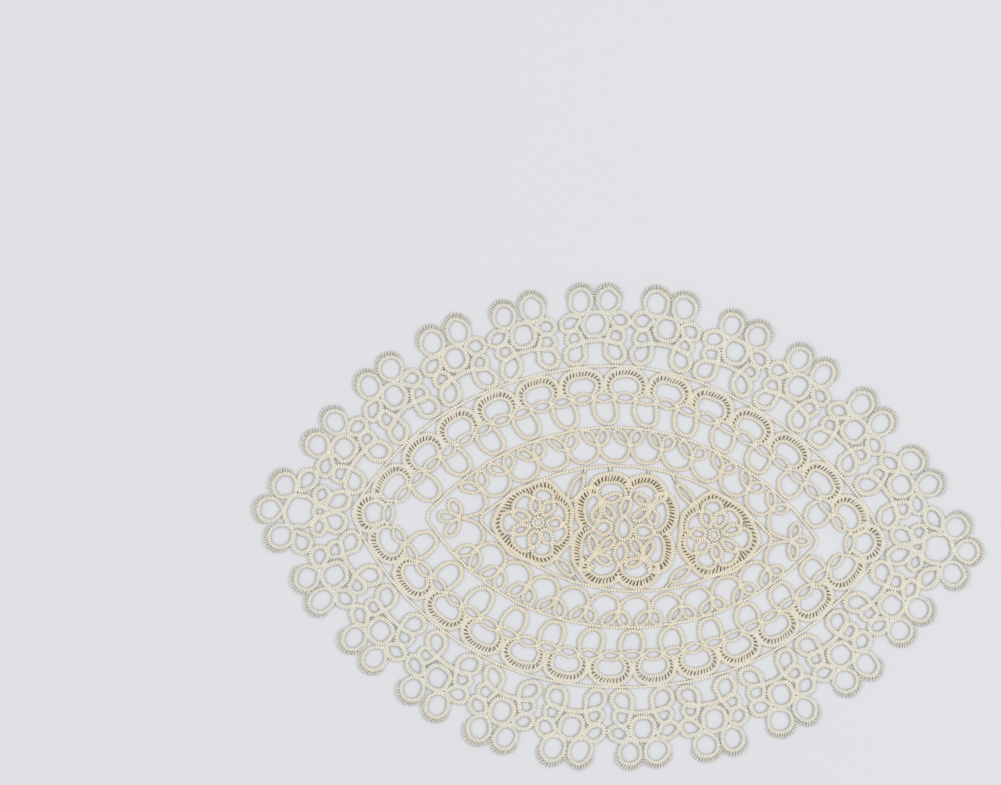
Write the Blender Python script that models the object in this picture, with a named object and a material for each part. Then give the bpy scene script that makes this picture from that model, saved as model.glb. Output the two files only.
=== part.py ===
"""A pointed-oval doily of tatted cotton thread, lying flat: one openwork sheet.

Every round of the lace follows the same pair of long arcs. The arcs' centres lie beyond
the middle line, so a place in a round is an angle along the arc and a radius from its
centre. The three medallions in the middle and the two pointed ends have places of their
own. The sheet is cut through at the openings of the rings, the scallops and the gaps
between them; the finer net stays closed.

Design sizes are in millimetres and become metres as the sheet is made.
"""
import math
from collections import namedtuple

import bpy

MM = 0.001
OBJECT_NAME = "lace_doily"
THREAD_COLOUR = (0.80, 0.745, 0.62, 1.0)

# The sheet
THICKNESS = 1.2
ARC_CENTRE = 60.2            # how far each long arc's centre lies beyond the middle line

# Border: ten units on each long side and one at each end
UNIT_TURN = 11.9             # degrees along the arc from one unit to the next
UNITS_A_SIDE = 10
OUTER_RING_RADIUS = 154.6    # arc that the big outer rings are centred on
OUTER_RING_SPREAD = 6.1      # half the distance between a unit's two outer rings
RING_EDGE = 5.8              # an outer ring's thread edge, from the ring's centre
PICOT_EDGE = 7.6             # the tips of its picots
PICOT_FAN = 80.0             # degrees to each side that picots stand on
JOINED_FAN = 26.0            # the same, towards a ring whose picots it meets
FAN_STEP = 26.5              # degrees from one corner of a fan to the next, about
BARE_EDGE = 105.0            # degrees to each side where the bare thread edge turns in
DIP_DEPTH = 3.6              # how far the edge dips between two units
END_DIP_DEPTH = 1.2          # the same beside an end, where a small ring fills the dip
END_DIP_PLACE = 130.0        # distance along the middle line past which a dip is beside an end

# Scallop round
SCALLOP_TURN = 8.85
SCALLOPS_FROM_CENTRE = 6

# Clover round
CLOVER_TURN = 8.0
CLOVERS_FROM_CENTRE = 5

# How the work lies: the outer rounds against the medallions, and the hand's unevenness
INNER_RADIUS = 86.5          # arc inside which the medallions' own place holds
OUTER_RADIUS = 114.5         # arc past which the outer rounds' place holds
MEDALLION_SHIFT = 3.3
OUTER_TURN = math.radians(0.5)
END_SAG = 1.0
END_REACH = 146.0            # the distance along the middle line at which END_SAG is reached
EGG_SWELL = 2.0              # how much wider the left shoulders lie than the right ones
SHOULDER = (80.0, 75.0)      # the place in a quarter where EGG_SWELL is reached
WAVE_ALONG = 0.55
WAVE_ACROSS = 0.6
WAVE_ALONG_RATE = 0.071      # radians a millimetre
WAVE_ACROSS_RATE = 0.058

Opening = namedtuple("Opening", "along out half_width half_depth corners")
Cut = namedtuple("Cut", "x y half_width half_depth corners facing")

# Openings of one border unit: along = offset from the unit's axis, out = radius of the arc.
UNIT_OPENINGS = (
    Opening(along=0.0, out=132.7, half_width=3.1, half_depth=4.5, corners=8),
    Opening(along=-8.4, out=132.9, half_width=2.9, half_depth=2.7, corners=7),
    Opening(along=8.4, out=132.9, half_width=2.9, half_depth=2.7, corners=7),
    Opening(along=0.0, out=145.4, half_width=3.7, half_depth=4.3, corners=6),
    Opening(-OUTER_RING_SPREAD, OUTER_RING_RADIUS, half_width=3.7, half_depth=3.8, corners=8),
    Opening(OUTER_RING_SPREAD, OUTER_RING_RADIUS, half_width=3.7, half_depth=3.8, corners=8),
)
WEDGE_GAP = Opening(along=0.0, out=140.6, half_width=2.3, half_depth=3.0, corners=4)

SCALLOP = Opening(along=0.0, out=119.4, half_width=5.6, half_depth=3.1, corners=8)
ARCH = Opening(along=0.0, out=108.4, half_width=3.7, half_depth=4.1, corners=7)
BETWEEN_ARCHES = Opening(along=0.0, out=107.8, half_width=2.4, half_depth=4.4, corners=6)
CLOVER_ARC = Opening(along=0.0, out=93.4, half_width=4.9, half_depth=4.1, corners=8)

# Outer rings of an end unit: the one at the tip, and the ones on both sides of it.
TIP_RING = Cut(x=146.3, y=0.0, half_width=3.8, half_depth=3.8, corners=8, facing=90.0)
TIP_SIDE_RING = Cut(x=140.4, y=10.2, half_width=3.6, half_depth=3.6, corners=8, facing=62.0)
# Openings on the middle line at each end.
END_CUTS = (
    TIP_RING,
    Cut(x=87.5, y=0.0, half_width=3.2, half_depth=3.4, corners=8, facing=90.0),
    Cut(x=103.2, y=0.0, half_width=4.4, half_depth=3.3, corners=8, facing=90.0),
    Cut(x=133.3, y=0.0, half_width=5.0, half_depth=4.0, corners=6, facing=90.0),
)
# Openings beside the middle line at each end, once on each side of it.
END_SIDE_CUTS = (
    TIP_SIDE_RING,
    Cut(x=64.0, y=5.5, half_width=4.5, half_depth=3.8, corners=8, facing=56.0),
    Cut(x=109.0, y=5.2, half_width=3.2, half_depth=2.1, corners=6, facing=80.0),
    Cut(x=117.5, y=4.3, half_width=2.7, half_depth=2.7, corners=7, facing=90.0),
    Cut(x=130.8, y=13.4, half_width=2.7, half_depth=2.7, corners=7, facing=60.0),
)
# Openings of the middle medallion and of a side one, once in each quarter of the sheet.
MEDALLION_CUTS = (
    Cut(x=7.4, y=15.7, half_width=4.9, half_depth=2.3, corners=7, facing=0.0),
    Cut(x=14.0, y=8.2, half_width=5.0, half_depth=2.3, corners=7, facing=90.0),
    Cut(x=22.1, y=11.6, half_width=3.5, half_depth=2.2, corners=4, facing=90.0),
    Cut(x=27.9, y=6.6, half_width=3.3, half_depth=2.1, corners=7, facing=90.0),
    Cut(x=34.3, y=11.8, half_width=2.7, half_depth=2.4, corners=7, facing=0.0),
    Cut(x=43.0, y=7.9, half_width=3.0, half_depth=2.1, corners=7, facing=35.0),
)
# Openings of the medallions that lie on the middle line, once at each end of it.
MEDALLION_END_CUTS = (
    Cut(x=48.4, y=0.0, half_width=4.0, half_depth=2.7, corners=8, facing=90.0),
)
CENTRE_RING_CUT = Cut(x=0.0, y=0.0, half_width=2.1, half_depth=3.5, corners=8, facing=0.0)


def towards(facing):
    """The unit vector that faces an angle in degrees, clockwise from +Y."""
    angle = math.radians(facing)
    return math.sin(angle), math.cos(angle)


def on_arc(side, radius, turn):
    """The point at an angle in degrees along the long arc of one side, +1 or -1 in Y."""
    across, out = towards(turn)
    return radius * across, side * (radius * out - ARC_CENTRE)


def step_from(point, facing, distance):
    """The point at a distance from another, the way an angle faces."""
    across, out = towards(facing)
    return point[0] + distance * across, point[1] + distance * out


def oval(cut):
    """The corners of an opening: its own width across the way it faces, its depth along it."""
    across, out = towards(cut.facing)
    corners = []
    for index in range(cut.corners):
        angle = 2.0 * math.pi * index / cut.corners
        width = cut.half_width * math.sin(angle)
        depth = cut.half_depth * math.cos(angle)
        corners.append((cut.x + width * out + depth * across, cut.y - width * across + depth * out))
    return corners


def arc_cut(side, turn, opening):
    """An opening of a round as a cut, at an angle along the arc of one side."""
    turn += math.degrees(opening.along / opening.out)
    x, y = on_arc(side, opening.out, turn)
    facing = turn if side > 0 else 180.0 - turn
    return Cut(x, y, opening.half_width, opening.half_depth, opening.corners, facing)


def mirrored(cut, flip_x, flip_y):
    """The same cut in another quarter of the sheet."""
    facing = cut.facing
    if flip_y:
        facing = 180.0 - facing
    if flip_x:
        facing = -facing
    x = -cut.x if flip_x else cut.x
    y = -cut.y if flip_y else cut.y
    return cut._replace(x=x, y=y, facing=facing)


def unit_turns():
    """The angles of the border units' axes along one side."""
    first = -(UNITS_A_SIDE - 1) / 2.0
    return [(first + index) * UNIT_TURN for index in range(UNITS_A_SIDE)]


def round_cuts(side):
    """The openings of the rounds along one side."""
    cuts = []
    for turn in unit_turns():
        cuts.extend(arc_cut(side, turn, opening) for opening in UNIT_OPENINGS)
    half = UNITS_A_SIDE // 2
    for place in range(-half, half + 1):
        cuts.append(arc_cut(side, place * UNIT_TURN, WEDGE_GAP))
    for place in range(-SCALLOPS_FROM_CENTRE, SCALLOPS_FROM_CENTRE + 1):
        cuts.append(arc_cut(side, place * SCALLOP_TURN, SCALLOP))
        if abs(place) < SCALLOPS_FROM_CENTRE:
            cuts.append(arc_cut(side, place * SCALLOP_TURN, BETWEEN_ARCHES))
        if place < SCALLOPS_FROM_CENTRE:
            cuts.append(arc_cut(side, (place + 0.5) * SCALLOP_TURN, ARCH))
    for place in range(-CLOVERS_FROM_CENTRE, CLOVERS_FROM_CENTRE):
        cuts.append(arc_cut(side, (place + 0.5) * CLOVER_TURN, CLOVER_ARC))
    return cuts


def all_cuts():
    """Every opening of the sheet."""
    cuts = [CENTRE_RING_CUT]
    for side in (1, -1):
        cuts.extend(round_cuts(side))
    for flip_x in (False, True):
        cuts.extend(mirrored(cut, flip_x, False) for cut in END_CUTS + MEDALLION_END_CUTS)
        for flip_y in (False, True):
            cuts.extend(mirrored(cut, flip_x, flip_y) for cut in END_SIDE_CUTS + MEDALLION_CUTS)
    return cuts


def outer_rings():
    """The centres and facings of the outer rings, clockwise round the sheet."""
    spread = math.degrees(OUTER_RING_SPREAD / OUTER_RING_RADIUS)
    turns = [turn + offset for turn in unit_turns() for offset in (-spread, spread)]
    upper = [(*on_arc(1, OUTER_RING_RADIUS, turn), turn) for turn in turns]
    end = (TIP_SIDE_RING, TIP_RING, mirrored(TIP_SIDE_RING, False, True))
    right = [(ring.x, ring.y, ring.facing) for ring in end]
    half = upper + right
    return half + [(-x, -y, facing + 180.0) for x, y, facing in half]


def edge_outline():
    """The sheet's outer edge: a bump for each outer ring, with a dip between two units."""
    rings = outer_rings()
    outline = []
    for index, (x, y, facing) in enumerate(rings):
        before, after = rings[index - 1], rings[(index + 1) % len(rings)]
        joined_before = math.dist(before[:2], (x, y)) < 2.0 * PICOT_EDGE
        joined_after = math.dist(after[:2], (x, y)) < 2.0 * PICOT_EDGE
        first = -JOINED_FAN if joined_before else -PICOT_FAN
        last = JOINED_FAN if joined_after else PICOT_FAN
        steps = round((last - first) / FAN_STEP)
        if not joined_before:
            outline.append(step_from((x, y), facing - BARE_EDGE, RING_EDGE))
        for step in range(steps + 1):
            turn = facing + first + (last - first) * step / steps
            outline.append(step_from((x, y), turn, PICOT_EDGE))
        if not joined_after:
            outline.append(step_from((x, y), facing + BARE_EDGE, RING_EDGE))
        outline.append(notch((x, y), after[:2], joined_after))
    return outline


def notch(ring, after, joined):
    """The edge's lowest point between two rings: where their picots meet, or the dip."""
    middle = ((ring[0] + after[0]) / 2.0, (ring[1] + after[1]) / 2.0)
    apart = math.dist(ring, after)
    outward = ((ring[1] - after[1]) / apart, (after[0] - ring[0]) / apart)
    if joined:
        height = math.sqrt(PICOT_EDGE ** 2 - (apart / 2.0) ** 2)
    elif abs(middle[0]) > END_DIP_PLACE:
        height = -END_DIP_DEPTH
    else:
        height = -DIP_DEPTH
    return middle[0] + outward[0] * height, middle[1] + outward[1] * height


def smooth(share):
    """A soft step from 0 to 1."""
    share = min(max(share, 0.0), 1.0)
    return share * share * (3.0 - 2.0 * share)


def as_laid(point):
    """Where a place in the even design lies in the handmade piece."""
    x, y = point
    radius = math.hypot(x, abs(y) + ARC_CENTRE)
    outer = smooth((radius - INNER_RADIUS) / (OUTER_RADIUS - INNER_RADIUS))
    turn = OUTER_TURN * outer
    laid_x = x * math.cos(turn) - y * math.sin(turn)
    laid_y = x * math.sin(turn) + y * math.cos(turn)
    laid_x += MEDALLION_SHIFT * (1.0 - outer)
    laid_x += WAVE_ALONG * outer * math.sin(WAVE_ALONG_RATE * y + 0.6)
    laid_y += WAVE_ACROSS * outer * math.sin(WAVE_ACROSS_RATE * x + 1.1)
    laid_y -= END_SAG * (x / END_REACH) ** 2
    laid_y -= EGG_SWELL * outer * math.sin(x / SHOULDER[0]) * math.sin(y / SHOULDER[1])
    return laid_x, laid_y


def add_outline(curve, points, middle):
    """Add one closed outline to the sheet's curve, in metres about the sheet's middle."""
    spline = curve.splines.new("POLY")
    spline.points.add(len(points) - 1)
    for corner, (x, y) in zip(spline.points, points):
        corner.co = ((x - middle[0]) * MM, (y - middle[1]) * MM, 0.0, 1.0)
    spline.use_cyclic_u = True


def thread_material():
    """Cream cotton thread."""
    material = bpy.data.materials.new("cream_cotton")
    material.use_nodes = True
    shader = material.node_tree.nodes["Principled BSDF"]
    shader.inputs["Base Color"].default_value = THREAD_COLOUR
    shader.inputs["Roughness"].default_value = 0.85
    shader.inputs["Metallic"].default_value = 0.0
    return material


def make_doily(collection):
    """The whole doily as one flat sheet, resting on the ground plane."""
    edge = [as_laid(point) for point in edge_outline()]
    low = [min(point[axis] for point in edge) for axis in (0, 1)]
    high = [max(point[axis] for point in edge) for axis in (0, 1)]
    middle = ((low[0] + high[0]) / 2.0, (low[1] + high[1]) / 2.0)

    curve = bpy.data.curves.new(OBJECT_NAME, "CURVE")
    curve.dimensions = "2D"
    curve.fill_mode = "BOTH"
    curve.extrude = THICKNESS * MM / 2.0
    add_outline(curve, edge, middle)
    for cut in all_cuts():
        add_outline(curve, [as_laid(point) for point in oval(cut)], middle)
    curve.materials.append(thread_material())

    doily = bpy.data.objects.new(OBJECT_NAME, curve)
    doily.location = (0.0, 0.0, THICKNESS * MM / 2.0)
    collection.objects.link(doily)
    return doily


def main():
    """Clear the scene and build the doily in a collection of its own."""
    for stale in list(bpy.data.objects):
        bpy.data.objects.remove(stale)
    collection = bpy.data.collections.new("Lace doily")
    bpy.context.scene.collection.children.link(collection)
    make_doily(collection)


main()
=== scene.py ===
"""A pointed-oval doily of tatted cotton thread, lying flat on a pale table.

The lace is worked thread by thread. Every ring and chain is a braid of double stitches:
one stitch is modelled once and repeated along the braid's line. Picots stand on the bar
side of the braids, and the ladder borders are long picots that an outer chain catches.

Design places are in millimetres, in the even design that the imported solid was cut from,
and the Lay class carries them to where they lie in the part's own frame, in metres.
"""
from __future__ import annotations

import logging
import math
from dataclasses import dataclass, field
from enum import Enum
from typing import Callable, NamedTuple, Sequence

import bmesh
import bpy
import numpy as np
from mathutils import Matrix, Vector

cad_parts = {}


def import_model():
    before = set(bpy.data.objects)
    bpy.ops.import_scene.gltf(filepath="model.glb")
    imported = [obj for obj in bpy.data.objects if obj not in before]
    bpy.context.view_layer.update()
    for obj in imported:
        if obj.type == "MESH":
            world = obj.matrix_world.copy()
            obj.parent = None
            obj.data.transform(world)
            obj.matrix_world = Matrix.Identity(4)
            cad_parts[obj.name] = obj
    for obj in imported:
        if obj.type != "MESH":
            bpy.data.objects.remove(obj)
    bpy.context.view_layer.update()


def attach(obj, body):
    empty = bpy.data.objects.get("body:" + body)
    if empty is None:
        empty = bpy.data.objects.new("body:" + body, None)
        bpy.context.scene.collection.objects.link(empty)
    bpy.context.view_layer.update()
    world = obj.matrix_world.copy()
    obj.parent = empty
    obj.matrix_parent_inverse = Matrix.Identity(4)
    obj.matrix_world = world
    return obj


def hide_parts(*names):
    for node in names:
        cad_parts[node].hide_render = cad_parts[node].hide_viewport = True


logging.basicConfig(level=logging.INFO, format="%(name)s: %(message)s")
LOG = logging.getLogger("lace_doily")

MM = 0.001
TURN = 2.0 * math.pi
MERGE = 2e-7                  # metres within which two vertices are one
OPEN_END = 8                  # the most corners that a thread's open end may have to be closed
SAME_PLACE = 1e-6             # millimetres within which two points of a line are one
TINY = 1e-9                   # keeps a direction's length from being nothing
NODE = "lace_doily"
ARC_CENTRE = 60.2             # how far each long arc's centre lies beyond the middle line
BORDER_LINE = 127.3           # radius of the line that the border hangs on
CLOVER_LINE = 101.9           # and of the line outside the clover round
WRAP_LINE = 86.2              # and of the line round the medallions
POINTS = (90.0, -90.0)        # the ways that the doily's two pointed ends face
SIDES = (1, -1)               # its upper and its lower long side
SEEDS = {
    "scallop_round": 11, "arch_round": 12, "clover_round": 13, "centre_medallion": 21,
    "side_medallion_right": 31, "side_medallion_left": 32, "border_upper": 41,
    "border_lower": 42, "border_end_right": 51, "border_end_left": 52,
}

Place = tuple[float, float]
Colour = tuple[float, float, float, float]


# ---------------------------------------------------------------- where things lie


@dataclass(frozen=True)
class Lay:
    """How the even design lies in the handmade piece, about the sheet's own middle."""

    inner_radius: float = 86.5        # inside this radius the lace is only shifted
    outer_radius: float = 114.5       # outside this one it is turned, waved and swollen
    medallion_shift: float = 3.3
    outer_turn: float = math.radians(0.5)
    end_sag: float = 1.0
    end_reach: float = 146.0
    egg_swell: float = 2.0
    shoulder: Place = (80.0, 75.0)
    wave: Place = (0.55, 0.6)         # the height of a wave along and of one across
    wave_rate: Place = (0.071, 0.058)
    wave_start: Place = (0.6, 1.1)
    middle: Place = (0.3106, 0.1913)

    def placed(self, places: np.ndarray) -> np.ndarray:
        """Where places of the even design lie in the part's frame.

        Args:
            places: design places in millimetres, one a row.

        Returns:
            The laid places in millimetres, one a row.
        """
        x, y = places[:, 0], places[:, 1]
        radius = np.hypot(x, np.abs(y) + ARC_CENTRE)
        share = (radius - self.inner_radius) / (self.outer_radius - self.inner_radius)
        share = np.clip(share, 0.0, 1.0)
        outer = share * share * (3.0 - 2.0 * share)
        turn = self.outer_turn * outer
        laid_x = x * np.cos(turn) - y * np.sin(turn)
        laid_y = x * np.sin(turn) + y * np.cos(turn)
        laid_x += self.medallion_shift * (1.0 - outer)
        laid_x += self.wave[0] * outer * np.sin(self.wave_rate[0] * y + self.wave_start[0])
        laid_y += self.wave[1] * outer * np.sin(self.wave_rate[1] * x + self.wave_start[1])
        laid_y -= self.end_sag * (x / self.end_reach) ** 2
        swell = np.sin(x / self.shoulder[0]) * np.sin(y / self.shoulder[1])
        laid_y -= self.egg_swell * outer * swell
        return np.stack((laid_x - self.middle[0], laid_y - self.middle[1]), axis=1)


class Spot:
    """A spot of the design that a repeat is worked beside."""

    def at(self, places: Sequence[Place]) -> np.ndarray:
        """Design places for places beside the spot, one a row."""
        raise NotImplementedError

    def one(self, place: Place) -> Place:
        """The design place for one place beside the spot."""
        return tuple(self.at([place])[0])


@dataclass(frozen=True)
class ArcSpot(Spot):
    """A spot in a round: an angle in degrees along the long arc of one side."""

    side: int
    turn: float

    def at(self, places: Sequence[Place]) -> np.ndarray:
        """Design places for (along, radius) places beside the spot.

        Args:
            places: distances along the arc, and radii from its centre.

        Returns:
            Design places, one a row.
        """
        along, radius = np.asarray(places, float).T
        angle = math.radians(self.turn) + along / radius
        out = radius * np.cos(angle) - ARC_CENTRE
        return np.stack((radius * np.sin(angle), self.side * out), axis=1)


@dataclass(frozen=True)
class TurnedSpot(Spot):
    """A spot with its own way of facing, in degrees clockwise from +Y."""

    x: float = 0.0
    y: float = 0.0
    facing: float = 0.0

    def at(self, places: Sequence[Place]) -> np.ndarray:
        """Design places for (across, out) places beside the spot.

        Args:
            places: distances across the way the spot faces, and along it.

        Returns:
            Design places, one a row.
        """
        across, out = np.asarray(places, float).T
        sine, cosine = math.sin(math.radians(self.facing)), math.cos(math.radians(self.facing))
        x = self.x + across * cosine + out * sine
        y = self.y - across * sine + out * cosine
        return np.stack((x, y), axis=1)


# ---------------------------------------------------------------- lines of the lace


RING_ROUND = 144.0            # degrees of a ring's round part on each side of its far end
RING_CORNERS = 9
LINE_SHY = 1.2                # degrees by which a long line stops before the pointed end
LINE_CORNERS = 41
LEAF_SHAPE = ((-1.0, 0.0), (-0.62, 0.72), (0.0, 1.0), (0.62, 0.72), (1.0, 0.0),
              (0.62, -0.72), (0.0, -1.0), (-0.62, -0.72), (-1.0, 0.0))


def smooth_line(corners: np.ndarray, closed: bool = False, steps: int = 10) -> np.ndarray:
    """A smooth line through corners.

    Args:
        corners: the places it passes, one a row.
        closed: whether it comes back to its start.
        steps: points from one corner to the next.

    Returns:
        Points along the line, with the start again at the end of a closed one.
    """
    if closed:
        ring = np.vstack((corners[-1:], corners, corners[:2]))
    else:
        before = 2.0 * corners[:1] - corners[1:2]
        after = 2.0 * corners[-1:] - corners[-2:-1]
        ring = np.vstack((before, corners, after))
    share = np.linspace(0.0, 1.0, steps, endpoint=False)[:, None]
    pieces = []
    for first in range(len(ring) - 3):
        a, b, c, d = ring[first:first + 4]
        bend = 2.0 * a - 5.0 * b + 4.0 * c - d
        twist = 3.0 * b - a - 3.0 * c + d
        pieces.append(0.5 * (2.0 * b + (c - a) * share + bend * share ** 2 + twist * share ** 3))
    pieces.append(ring[-2:-1])
    return np.vstack(pieces)


def ring_line(base: Place, centre: Place, along: float, across: float) -> list[Place]:
    """The corners of a ring that starts and closes at its base.

    Args:
        base: where the ring is drawn together.
        centre: the middle of its round part.
        along: half its size away from the base.
        across: half its size across that.

    Returns:
        Places from the base, round the ring and back.
    """
    away = np.subtract(centre, base)
    away = away / np.hypot(*away)
    beside = np.array((-away[1], away[0]))
    line = [tuple(base)]
    for angle in np.radians(np.linspace(-RING_ROUND, RING_ROUND, RING_CORNERS)):
        place = np.asarray(centre) + away * along * math.cos(angle)
        line.append(tuple(place + beside * across * math.sin(angle)))
    line.append(tuple(base))
    return line


def leaf_line(middle: Place, half_length: float, half_width: float) -> list[Place]:
    """The corners of a leaf, pointed at both ends.

    Args:
        middle: its middle.
        half_length: half its length, along the first coordinate.
        half_width: half its width.

    Returns:
        Places from one point, round the leaf and back.
    """
    return [(middle[0] + a * half_length, middle[1] + b * half_width) for a, b in LEAF_SHAPE]


def lens_line(radius: float) -> np.ndarray:
    """The corners of a closed line that follows both long arcs.

    Args:
        radius: the arcs' radius.

    Returns:
        Design places right round, one a row.
    """
    end = math.degrees(math.acos(ARC_CENTRE / radius)) - LINE_SHY
    turns = np.linspace(-end, end, LINE_CORNERS)
    upper = np.vstack([ArcSpot(1, turn).at([(0.0, radius)]) for turn in turns])
    lower = np.vstack([ArcSpot(-1, turn).at([(0.0, radius)]) for turn in turns[::-1]])
    return np.vstack((upper, lower))


def symmetric(half: Sequence[Place]) -> tuple[Place, ...]:
    """A line across a repeat's axis, from the half of it that starts on the axis."""
    return tuple((-along, out) for along, out in half[:0:-1]) + tuple(half)


def distances(path: np.ndarray) -> np.ndarray:
    """How far along a path each of its points lies."""
    return np.concatenate(([0.0], np.cumsum(np.hypot(*np.diff(path, axis=0).T))))


def outward(path: np.ndarray, heart: np.ndarray) -> np.ndarray:
    """Which way is straight across a path, away from a place.

    Args:
        path: points along the path, one a row.
        heart: the place.

    Returns:
        A direction for each point, 1 long.
    """
    ahead = np.gradient(path, axis=0)
    ahead /= np.hypot(*ahead.T)[:, None]
    across = np.stack((-ahead[:, 1], ahead[:, 0]), axis=1)
    return across if (across * (path - heart)).sum() >= 0.0 else -across


class Station(NamedTuple):
    """Places on a line, and the way it runs there."""

    x: np.ndarray
    y: np.ndarray
    ahead_x: np.ndarray
    ahead_y: np.ndarray

    def beside(self, ahead: np.ndarray | float, left: np.ndarray) -> tuple[np.ndarray, np.ndarray]:
        """Places beside these.

        Args:
            ahead: how far ahead of these they lie.
            left: and how far to their left.

        Returns:
            Their x and y.
        """
        x = self.x + self.ahead_x * ahead - self.ahead_y * left
        y = self.y + self.ahead_y * ahead + self.ahead_x * left
        return x, y


class Line(NamedTuple):
    """A laid line: its points, the way it runs at each, and the distance along it."""

    points: np.ndarray
    ahead: np.ndarray
    distance: np.ndarray

    @classmethod
    def through(cls, path: np.ndarray, closed: bool) -> "Line":
        """The line through points.

        Args:
            path: the points in millimetres; those that repeat the one before are left out.
            closed: whether it comes back to its start.

        Returns:
            The line.
        """
        steps = np.hypot(*np.diff(path, axis=0).T)
        path = path[np.concatenate(([True], steps > SAME_PLACE))]
        distance = distances(path)
        ahead = np.gradient(path, distance, axis=0)
        if closed:
            ahead[0] = ahead[-1] = ahead[0] + ahead[-1]
        ahead /= np.hypot(*ahead.T)[:, None]
        return cls(path, ahead, distance)

    @property
    def length(self) -> float:
        """Its length in millimetres."""
        return float(self.distance[-1])

    def at(self, share: np.ndarray) -> Station:
        """The line at shares of its length.

        Args:
            share: the shares, 0 to 1.

        Returns:
            The places there, and the way the line runs.
        """
        along = share * self.length
        x, y = (np.interp(along, self.distance, self.points[:, k]) for k in (0, 1))
        ahead_x, ahead_y = (np.interp(along, self.distance, self.ahead[:, k]) for k in (0, 1))
        size = np.hypot(ahead_x, ahead_y) + TINY
        return Station(x, y, ahead_x / size, ahead_y / size)


# ---------------------------------------------------------------- stitch, picot and knot


class Tile(NamedTuple):
    """A small mesh that is repeated: its vertices, square faces and their attributes."""

    points: np.ndarray        # one row a vertex
    faces: np.ndarray         # four vertices a row
    wrap: np.ndarray          # the faces' UV corners, as (face, corner, 2)
    painted_shade: np.ndarray        # how much painted shade each vertex gets, 0 to 1


def tile_of(bm: bmesh.types.BMesh, painted_shade: Callable[[Vector], float]) -> Tile:
    """Read a finished small mesh as a tile.

    Args:
        bm: the mesh, all of whose faces are squares; it is freed.
        painted_shade: how much painted shade a place gets.

    Returns:
        The tile.
    """
    bm.verts.index_update()
    layer = bm.loops.layers.uv.verify()
    points = np.array([v.co[:] for v in bm.verts])
    faces = np.array([[v.index for v in f.verts] for f in bm.faces])
    wrap = np.array([[loop[layer].uv[:] for loop in f.loops] for f in bm.faces])
    shade_depth = np.array([painted_shade(v.co) for v in bm.verts])
    bm.free()
    return Tile(points, faces, wrap, shade_depth)


def extrude_rim(bm: bmesh.types.BMesh, rim: list, move: Sequence[float]) -> list:
    """Draw a tube out from its rim.

    Args:
        bm: the mesh.
        rim: the edges of the tube's open end.
        move: how far the new end lies from the old one.

    Returns:
        The edges of the new end.
    """
    out = bmesh.ops.extrude_edge_only(bm, edges=rim)["geom"]
    new = [g for g in out if isinstance(g, bmesh.types.BMVert)]
    bmesh.ops.translate(bm, verts=new, vec=move)
    return [g for g in out if isinstance(g, bmesh.types.BMEdge)
            and g.verts[0] in new and g.verts[1] in new]


def draw_tube(bm: bmesh.types.BMesh, sides: int, lengths: Sequence[float]) -> list:
    """Draw a round tube of radius 1 out along +X from the origin.

    Args:
        bm: an empty mesh.
        sides: corners round the tube.
        lengths: the length of each section.

    Returns:
        The edges of the tube's last ring.
    """
    bmesh.ops.create_circle(bm, cap_ends=False, segments=sides, radius=1.0)
    upright = Matrix.Rotation(math.pi / 2, 3, "Y")
    bmesh.ops.rotate(bm, verts=bm.verts[:], cent=(0, 0, 0), matrix=upright)
    rim = bm.edges[:]
    for length in lengths:
        rim = extrude_rim(bm, rim, (length, 0, 0))
    bmesh.ops.recalc_face_normals(bm, faces=bm.faces[:])
    return rim


def wrap_tube(bm: bmesh.types.BMesh, wrap: Callable[[Vector, Vector], Place]) -> None:
    """Give each face corner its UV.

    Args:
        bm: the mesh.
        wrap: the UV for a face's middle and the corner's place.
    """
    layer = bm.loops.layers.uv.verify()
    for face in bm.faces:
        middle = face.calc_center_median()
        for loop in face.loops:
            loop[layer].uv = wrap(middle, loop.vert.co)


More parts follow.
